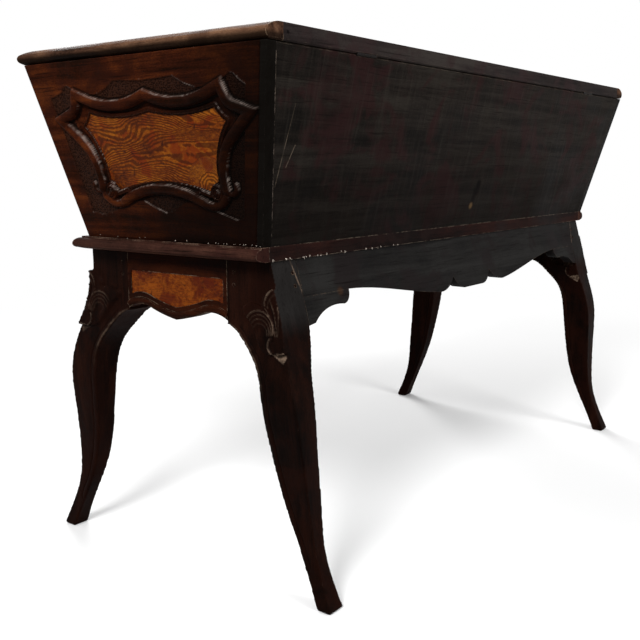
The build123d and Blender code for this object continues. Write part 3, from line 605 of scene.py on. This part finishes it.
VOLUTE_RISE, VOLUTE_REACH, VOLUTE_GROOVE = 6.5, 14, 3.0
VOLUTE_START, VOLUTE_GROWTH = 3.1, 0.62     # where its spiral starts, in turns, and how fast it opens
WALL = 0.0185                               # thickness of the boards across, in metres
STRIP = 10.5                                # width of the back board's edge on the end face


def spots(shares, side=1):
    """Places on the board of points given as shares of the cartouche's half width and height."""
    width, height, lift = CARTOUCHE
    return [(side * x * width / 2, lift + y * height) for x, y in shares]


def cusped(arcs):
    """Lines through arcs that run straight on at their ends to where they meet, with their mitres' planes."""
    lines = [three_point_arc(*arc) for arc in arcs]
    heads = [(line[1] - line[0]) / np.linalg.norm(line[1] - line[0]) for line in lines]
    tails = [(line[-1] - line[-2]) / np.linalg.norm(line[-1] - line[-2]) for line in lines]
    mitres = [[] for _ in lines]
    for i in range(len(lines) - 1):
        gap, (tx, ty), (hx, hy) = lines[i + 1][0] - lines[i][-1], tails[i], heads[i + 1]
        cusp = lines[i][-1] + tails[i] * (gap[0] * hy - gap[1] * hx) / (tx * hy - ty * hx)
        lines[i] = np.vstack([lines[i], cusp + tails[i] * MITRE_RUN])
        lines[i + 1] = np.vstack([cusp - heads[i + 1] * MITRE_RUN, lines[i + 1]])
        mitres[i].append((cusp, -(tails[i] + heads[i + 1])))
        mitres[i + 1].append((cusp, tails[i] + heads[i + 1]))
    return zip(lines, mitres)


def rolls(points, arcs, half_width, height):
    """Half-round rolls along arcs that meet in mitred cusps."""
    relief = np.zeros(len(points))
    for line, mitres in cusped(arcs):
        roll = ridge(distance(points, line), half_width, height)
        for cusp, way in mitres:
            roll[(points - cusp) @ way < 0] = 0
        relief = np.maximum(relief, roll)
    return relief


def volute(points, centre, hand):
    """Spiral groove carved on a low boss."""
    away = points - np.array(centre)
    reach = np.linalg.norm(away, axis=1)
    boss = VOLUTE_RISE * np.clip(1 - (reach / VOLUTE_REACH) ** 4, 0, None)
    angle = hand * np.arctan2(away[:, 1], away[:, 0]) / (2 * math.pi)
    turns = (angle + VOLUTE_START - np.log(np.maximum(reach, 0.6)) / VOLUTE_GROWTH) % 1
    groove = rise_between(np.abs(turns - 0.5) * 2, 0.45, 0.95)
    return boss - VOLUTE_GROOVE * groove * (reach < VOLUTE_REACH - 1) * (reach > 2.2)


def cartouche_relief(points):
    """Height of the carving over the face of the board, with the burl field sunk in it."""
    arcs = [spots(arc) for arc in ROLL_ARCS]
    arcs += [spots(arc[::-1], -1) for arc in reversed(ROLL_ARCS)]
    field = [three_point_arc(*spots(arc)) for arc in FIELD_ARCS]
    field.append(three_point_arc(*spots(FIELD_FOOT)))
    field += [three_point_arc(*spots(arc[::-1], -1)) for arc in reversed(FIELD_ARCS)]
    gap = outside_by(points, np.vstack(field))
    within = np.vstack([three_point_arc(*arc) for arc in arcs] + [three_point_arc(*spots(ROLL_FOOT)[::-1])])
    hollow = -HOLLOW_DEPTH * rise_between(-outside_by(points, within), 0, 5)
    beads = np.maximum(*(ridge(gap - place, *section) for place, *section in BEADS))
    relief = hollow + beads * (gap > 0)
    roll = rolls(points, arcs, *ROLL)
    foot = ridge(distance(points, three_point_arc(*spots(ROLL_FOOT))), *FOOT_ROLL)
    for side in (1, -1):
        curl = distance(points, three_point_arc(*spots(ROLL_CURL, side)))
        hook = distance(points, three_point_arc(*spots(SIDE_CURL, side)))
        foot = np.maximum(foot, np.maximum(ridge(curl, *CURL), ridge(hook, *HOOK)))
        roll = np.maximum(roll, volute(points, spots([VOLUTE], side)[0], side))
    raised = np.maximum(roll, foot)
    relief = np.where(raised > CARVED, np.maximum(raised, relief), relief)
    sunk = rise_between(-gap, 0.0, 1.2)
    return relief * (1 - sunk) - FIELD_DEPTH * sunk


def ground_outline(left, right):
    """Outline of the punched ground round a cartouche, from its reach to the left and right, high and low."""
    halves = []
    for high, low in (right, left):
        halves.append(GROUND_TOP + [(high, GROUND_HIGH), (low, GROUND_LOW)] + GROUND_FOOT[::-1])
    return np.array(halves[0] + [(-x, y) for x, y in halves[1][::-1]])


def hand_worked(flat, carvings):
    """Relief of a board's face: uneven hand work, punched grounds and their cartouches. Also the shares of
    punched ground and of the lips round it."""
    relief = 0.22 * ripple(flat, 34, 3) + 0.1 * ripple(flat, 11, 5)
    stipple, lips = np.zeros(len(flat)), np.zeros(len(flat))
    for place, ground in carvings:
        local = flat - np.array([place, 0])
        near = np.abs(local[:, 0]) < CARVING_REACH
        spot = local[near]
        depth = outside_by(spot, ground)
        sunk = rise_between(-depth, 0, 1.6)
        carving = cartouche_relief(spot)
        plain = np.abs(carving) < CARVED
        lip = ridge(depth + 0.4, 1.3, 0.7)
        lips[near] = np.maximum(lips[near], lip * plain)
        relief[near] += np.where(np.abs(carving) > CARVED, carving, lip - GROUND_DEPTH * sunk)
        stipple[near] = np.maximum(stipple[near], sunk * plain)
    return relief, stipple, lips


def faded(count):
    """Share of the relief at each point of a row: none at its ends, and all of it from the third point in."""
    steps = np.arange(count)
    return np.minimum(1, np.minimum(steps, steps[::-1]) / 3)


def wear_and_painted_highlight(crest, lips, rises, runs):
    """Share of pale wood, worn and painted highlight: on crests that face up and to the side, and on lips
    that fall to one side.
    """
    facing = -(rises + runs) / math.sqrt(2)
    scuff_and_highlight = (0.75 * rise_between(crest, 0.35, 0.8) * rise_between(facing, 0.75, 1.5)).ravel()
    steepness = np.hypot(rises, runs) + 0.02
    falls = rise_between((np.abs(rises + runs) / steepness).ravel(), 1.1, 1.3)
    falls *= rise_between((np.abs(rises) / steepness).ravel(), 0.55, 0.7)
    return np.maximum(scuff_and_highlight, 0.6 * rise_between(lips, 0.15, 0.5) * falls)


def carved_board(name, material, origin, side_way, up_way, halves, slope, carvings, cells, inward, back_side,
                 *replaced):
    """Board with a carved outer face on a fine grid, a plain inner face and square edges. halves are its half
    widths at the foot and the top of its slope. The carvings are the places of the cartouches and the
    outlines of their grounds. A painted strip with a joint line inside it runs up the back side, which
    is 1, -1 or 0 for none."""
    columns, rows = cells
    across = np.linspace(-1, 1, columns)
    rise = np.linspace(0, slope, rows)
    half = halves[0] + (halves[1] - halves[0]) * rise / slope
    flat = np.column_stack([(half[:, None] * across).ravel(), np.repeat(rise, columns)])
    relief, stipple, lips = hand_worked(flat, carvings)
    from_edge = np.repeat(half, columns) - flat[:, 0] * back_side
    painted = rise_between(from_edge, STRIP + 0.6, STRIP) * abs(back_side)
    relief -= ridge(from_edge - STRIP - 0.8, 1.2, 1.4) * abs(back_side)
    grid = relief.reshape(rows, columns) * (faded(columns)[None, :] * faded(rows)[:, None])
    rises, runs = np.gradient(grid, slope / (rows - 1), 2 * halves[1] / (columns - 1))
    crest = grid - blurred(grid, 3)
    # pale worn wood and painted highlight on crests that face up and to the side
    scuff_and_highlight = wear_and_painted_highlight(crest, lips, rises, runs)
    out_way = np.cross(side_way, up_way)
    outer = origin + (flat[:, :1] * side_way + flat[:, 1:] * up_way + grid.ravel()[:, None] * out_way) * MM

    index = np.arange(rows * columns).reshape(rows, columns)
    corners = [index[:-1, :-1], index[:-1, 1:], index[1:, 1:], index[1:, :-1]]
    faces = np.stack(corners, axis=-1).reshape(-1, 4).tolist()
    rim = np.concatenate([index[0, :-1], index[:-1, -1], index[-1, :0:-1], index[:0:-1, 0]])
    back = outer[rim] + np.array(inward) * WALL
    base, count, edge = len(outer), len(rim), rim.tolist()
    for i in range(count):
        j = (i + 1) % count
        faces.append([edge[j], edge[i], base + i, base + j])
    faces.append([base + count + i for i in reversed(range(count))])
    extra = np.zeros(2 * count)
    inner = np.repeat([0.0, 1.0], count)
    values = {
        "crest": np.concatenate([crest.ravel(), extra]), "stipple": np.concatenate([stipple, extra]),
        "scuff_and_highlight": np.concatenate([scuff_and_highlight, extra]), "inside": np.concatenate([np.zeros(base), inner]),
        "painted": np.concatenate([painted, 1 - inner]),
    }
    points = np.vstack([outer, back, back])
    return add_piece(name, points, faces, material, "case", "oak", *replaced, values=values)


end_low, end_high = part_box("end_board_right")
trough_y = (end_low.y + end_high.y) / 2
foot_x, rim_x = end_low.x + WALL, end_high.x
rim_y = end_high.y - trough_y
foot_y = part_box("bottom_board")[1].y - trough_y
rise_z = end_high.z - end_low.z
end_shift = 9.0                             # how far the ends' cartouches stand off the middle, to the back
end_ground, front_ground = (197, 157), (205, 190)       # reach of the grounds to each side, high and low
end_cells, front_cells = (361, 207), (641, 141)

for side, hand in ((1, "right"), (-1, "left")):
    lean_way = np.array([side * (rim_x - foot_x), 0, rise_z])
    slope = np.linalg.norm(lean_way)
    shift = side * end_shift
    ground = ground_outline([reach + shift for reach in end_ground], [reach - shift for reach in end_ground])
    carved_board(
        f"carved_end_{hand}", end_wood, np.array([side * foot_x, trough_y, end_low.z]),
        np.array([0, side, 0.0]), lean_way / slope, (foot_y / MM, rim_y / MM), slope / MM, [(shift, ground)],
        end_cells, (-side, 0, 0), side, f"end_board_{hand}", f"end_cartouche_{hand}",
    )

front_low, front_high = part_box("front_board")
lean_way = np.array([0, front_low.y - (front_high.y - WALL), rise_z])
slope = np.linalg.norm(lean_way)
cartouche_low, cartouche_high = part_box("front_cartouche_right")
cartouche_x = (cartouche_low.x + cartouche_high.x) / 2 / MM
ground = ground_outline(front_ground, front_ground)
carved_board(
    "carved_front", front_wood, np.array([0, front_high.y - WALL, front_low.z]), np.array([1.0, 0, 0]),
    lean_way / slope, ((foot_x - WALL) / MM, (rim_x - WALL) / MM), slope / MM,
    [(cartouche_x, ground), (-cartouche_x, ground)], front_cells, (0, 1, 0), 0,
    "front_board", "front_cartouche_right", "front_cartouche_left",
)


# ---- legs with carved knees; places on a leg are in millimetres ---------------------------------

def even_mesh(node, cell):
    """Copy of a CAD node's solids in an even fine mesh."""
    source = bpy.data.objects.new("source", nodes[node].data.copy())
    bpy.context.scene.collection.objects.link(source)
    remesh = source.modifiers.new("even", "REMESH")
    remesh.mode = "VOXEL"
    remesh.voxel_size = cell
    fine = bpy.data.meshes.new_from_object(source.evaluated_get(bpy.context.evaluated_depsgraph_get()))
    bpy.data.objects.remove(source)
    return fine


def around(values, pairs, rounds):
    """Values evened out with their neighbours' that many times."""
    a, b = pairs
    degree = np.bincount(np.concatenate([a, b]), minlength=len(values))
    for _ in range(rounds):
        values = (np.bincount(a, values[b], len(values)) + np.bincount(b, values[a], len(values))) / degree
    return values


def worked(name, node, cell, material, body, carve):
    """CAD node in a fine mesh, moved along its normals by what carve gives for its points in millimetres,
    which is a rise, and named values for the wood's material."""
    mesh = even_mesh(node, cell)
    count = len(mesh.vertices)
    points, normals = np.empty(count * 3, np.float32), np.empty(count * 3, np.float32)
    pairs = np.empty(len(mesh.edges) * 2, np.int32)
    mesh.vertices.foreach_get("co", points)
    mesh.vertex_normals.foreach_get("vector", normals)
    mesh.edges.foreach_get("vertices", pairs)
    points, normals = points.reshape(-1, 3).astype(float), normals.reshape(-1, 3).astype(float)
    rise, values = carve(points / MM, normals)
    points += normals * rise[:, None] * MM
    values["crest"] = rise - around(rise, pairs.reshape(-1, 2).T, 5)
    mesh.vertices.foreach_set("co", points.ravel().astype(np.float32))
    for key, numbers in values.items():
        mesh.attributes.new(key, "FLOAT", "POINT").data.foreach_set("value", numbers.astype(np.float32))
    mesh.materials.clear()
    mesh.materials.append(material)
    mesh.shade_smooth()
    mesh.update()
    mesh.name = name
    piece = bpy.data.objects.new(name, mesh)
    bpy.context.scene.collection.objects.link(piece)
    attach(piece, body)
    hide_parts(node)
    return piece


# Carved on a knee: lines through three points, each sideways from the stand's middle and up, then their half
# width and height.
KNEE_LINES = [
    ((147, 413.5), (166, 425.5), (194.5, 394), 1.9, 1.7),
    ((149.5, 407.5), (166, 419.5), (191, 393), 1.5, 1.2),
    ((153, 402.5), (166, 413.5), (187.5, 392), 1.5, 1.1), ((158, 399), (167, 407), (184, 391), 1.4, 1.0),
    ((179.7, 434), (186, 451), (200, 458.5), 2.0, 1.7), ((184, 430), (190, 444), (201, 452), 1.5, 1.1),
    ((180, 430), (192, 412), (199, 393), 1.5, 1.2), ((189, 444), (197, 420), (202, 393), 1.5, 1.2),
    ((198, 456), (203.5, 425), (204.5, 393), 1.6, 1.3), ((190, 388), (187.5, 378), (194, 368.5), 2.2, 1.8),
    ((194, 368.5), (206, 366.5), (219, 371.5), 2.2, 1.8),
]
KNEE_HOLLOWS = [
    ((168, 398), (180, 398), (192, 388), 6.0, 1.6), ((189, 432), (196, 415), (201, 398), 3.0, 1.0),
]
KNEE_FACET = np.array([(191.5, 367.0), (222.5, 372.0), (214.0, 354.5)])
KNEE_MIDDLE, KNEE_REACH = 410, 62           # height of the knee's carving, and how far it reaches up and down
JOINT_CHIPS = [((529, 503), (523, 480), (518, 462)), ((518, 462), (512, 440), (506.5, 410))]
BAND = 10.5                                 # width of the moulded edge inside each leg
BAND_HEIGHTS = np.arange(60, 401, 5.0)      # where the inner edge is looked up
STAND_END, STAND_SIDE = 569.0, 189.1        # outer faces of the leg blocks on X and Y
LEG_CELL = 0.0016                           # of the legs' fine mesh, in metres


def carve_knee(flat):
    """Rise of the carved leaf over a leg's face, and its share of pale worn wood and painted highlight."""
    rise, crests = np.zeros(len(flat)), np.zeros(len(flat))
    for *arc, half_width, height in KNEE_LINES:
        share = ridge(distance(flat, three_point_arc(*arc)), half_width, 1)
        rise = np.maximum(rise, share * height)
        crests = np.maximum(crests, rise_between(share, 0.78, 0.98) * (height - 0.7))
    for *arc, half_width, depth in KNEE_HOLLOWS:
        rise -= ridge(distance(flat, three_point_arc(*arc)), half_width, depth) * (rise < 0.2)
    # painted highlight: the facet under the leaf is pale
    facet = inside(flat, KNEE_FACET)
    return np.where(facet, -0.8, rise), np.maximum(0.6 * crests, facet * 0.9)


def carve_leg(points, normals):
    """Rise of a leg's points: hand work, carved knees and the moulded inner edge, with paint, worn wood and
    painted highlight.
    """
    x, y, z = points.T
    ends = np.abs(normals[:, 0]) > 0.75
    fronts = (normals[:, 1] < -0.75) & (y < 0)
    backs = (normals[:, 1] > 0.75) & (y > 0)
    rise = 0.18 * ripple(np.column_stack([x + y, z]), 45, 7)
    rise += 0.1 * ripple(np.column_stack([x - y, z]), 13, 9)
    scuff_and_highlight = np.zeros(len(points))
    for faces, sideways in ((ends, np.abs(y)), (fronts, np.abs(x) - (STAND_END - STAND_SIDE))):
        flat = np.column_stack([sideways, z])[faces]
        if not len(flat):
            continue
        near = np.abs(flat[:, 1] - KNEE_MIDDLE) < KNEE_REACH
        carved, pale = np.zeros(len(flat)), np.zeros(len(flat))
        carved[near], pale[near] = carve_knee(flat[near])
        # painted highlight: the pale crests and facet are strongest on the back legs' end faces
        pale *= np.where(y[faces] > 0, 1, 0.45)
        inner = np.array([(flat[np.abs(flat[:, 1] - h) < 3.5, 0].min(), h) for h in BAND_HEIGHTS])
        gap = distance(flat, inner)
        on_leg = rise_between(flat[:, 1], 404, 396)
        carved -= ridge(gap - BAND, 1.3, 1.1) * on_leg * (carved < 0.3)
        carved += ridge(gap - BAND / 2, BAND / 2, 0.9) * on_leg
        pale = np.maximum(pale, 0.4 * ridge(gap - 3.5, 2.0, 1) * on_leg * rise_between(flat[:, 1], 290, 380))
        rise[faces] += carved
        scuff_and_highlight[faces] = pale
    joint = np.column_stack([np.abs(x), z])
    chips = np.min([distance(joint, three_point_arc(*arc)) for arc in JOINT_CHIPS], axis=0)
    scuff_and_highlight = np.maximum(scuff_and_highlight, backs * 0.8 * rise_between(chips, 1.5, 0.3))
    return rise, {"scuff_and_highlight": scuff_and_highlight, "painted": backs * rise_between(z, 385, 425)}


for place in ("back_left", "back_right", "front_left", "front_right"):
    worked(f"carved_leg_{place}", f"leg_{place}", LEG_CELL, leg_wood, "case", carve_leg)


# ---- flakes of pale paint -----------------------------------------------------------------------

FLAKE_ROOT, FLAKE_TOP = -0.0004, 0.0003     # from the surface that a flake lies on


def flakes(name, spots_at, normals, sizes, material, seed):
    """Thin chips with ragged outlines, lying on a surface."""
    rng = np.random.default_rng(seed)
    points, faces = [], []
    for spot, normal, size in zip(spots_at, normals, sizes):
        out = Vector(normal).normalized()
        across = out.orthogonal().normalized()
        up_way = out.cross(across)
        corners = int(rng.integers(6, 10))
        first = len(points)
        turn, stretch = rng.uniform(0, math.pi), rng.uniform(0.45, 1.0)
        for level in (FLAKE_ROOT, FLAKE_TOP):
            for i in range(corners):
                angle = 2 * math.pi * i / corners
                reach = size * (1 + 0.3 * math.sin(3 * angle + turn * 5)) * (1 if level < 0 else 0.75)
                u = reach * math.cos(angle)
                v = reach * stretch * math.sin(angle)
                u, v = u * math.cos(turn) - v * math.sin(turn), u * math.sin(turn) + v * math.cos(turn)
                points.append(Vector(spot) + across * u + up_way * v + out * level)
        low, high = range(first, first + corners), range(first + corners, first + 2 * corners)
        faces += [tuple(high), tuple(reversed(low))]
        faces += [(low[i], low[(i + 1) % corners], high[(i + 1) % corners], high[i]) for i in range(corners)]
    return add_piece(name, points, faces, material, "case", "oak", smooth=False)


def chip_paint(name):
    material, s = new_material(name)
    place = s.node("TexCoord").outputs["Object"]
    grime = s.noise(place, 400.0, 3.0, 0.6)
    surface(s, s.ramp(grime, (0.35, "#6f6257"), (0.6, "#b9aea3")), 0.8, s.bump(grime, 0.3, 0.0003),
            Specular_IOR_Level=0.02)
    return material


def scattered(start, end, count, normal, spread, smallest, largest, seed):
    """Places along a line, closer together towards its start, with a size for each."""
    rng = np.random.default_rng(seed)
    start, end = np.array(start), np.array(end)
    shares = rng.uniform(0, 1, count) ** 1.6
    places = start + shares[:, None] * (end - start) + rng.normal(0, 1, (count, 3)) * np.array(spread)
    return places, [normal] * count, rng.uniform(smallest, largest, count)


paint_chips = chip_paint("paint_chips")
leg_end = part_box("leg_back_right")[1].x
bottom_low, bottom_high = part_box("bottom_board")
joint_z, foot_z = bottom_low.z + 0.001, end_low.z + 0.0025      # just over the joints that they lie along
foot_face = foot_x + 0.0008
flakes("flakes_back_joint", *scattered(
    (leg_end - 0.012, bottom_high.y, joint_z), (0.24, bottom_high.y, joint_z), 26,
    (0, 1, 0), (0, 0, 0.0006), 0.0008, 0.0026, 5), paint_chips, 6)
flakes("flakes_end_foot", *scattered(
    (foot_face, 0.195, foot_z), (foot_face, -0.15, foot_z), 24,
    (1, 0, -0.35), (0.0002, 0, 0.0009), 0.0004, 0.0011, 8), paint_chips, 9)
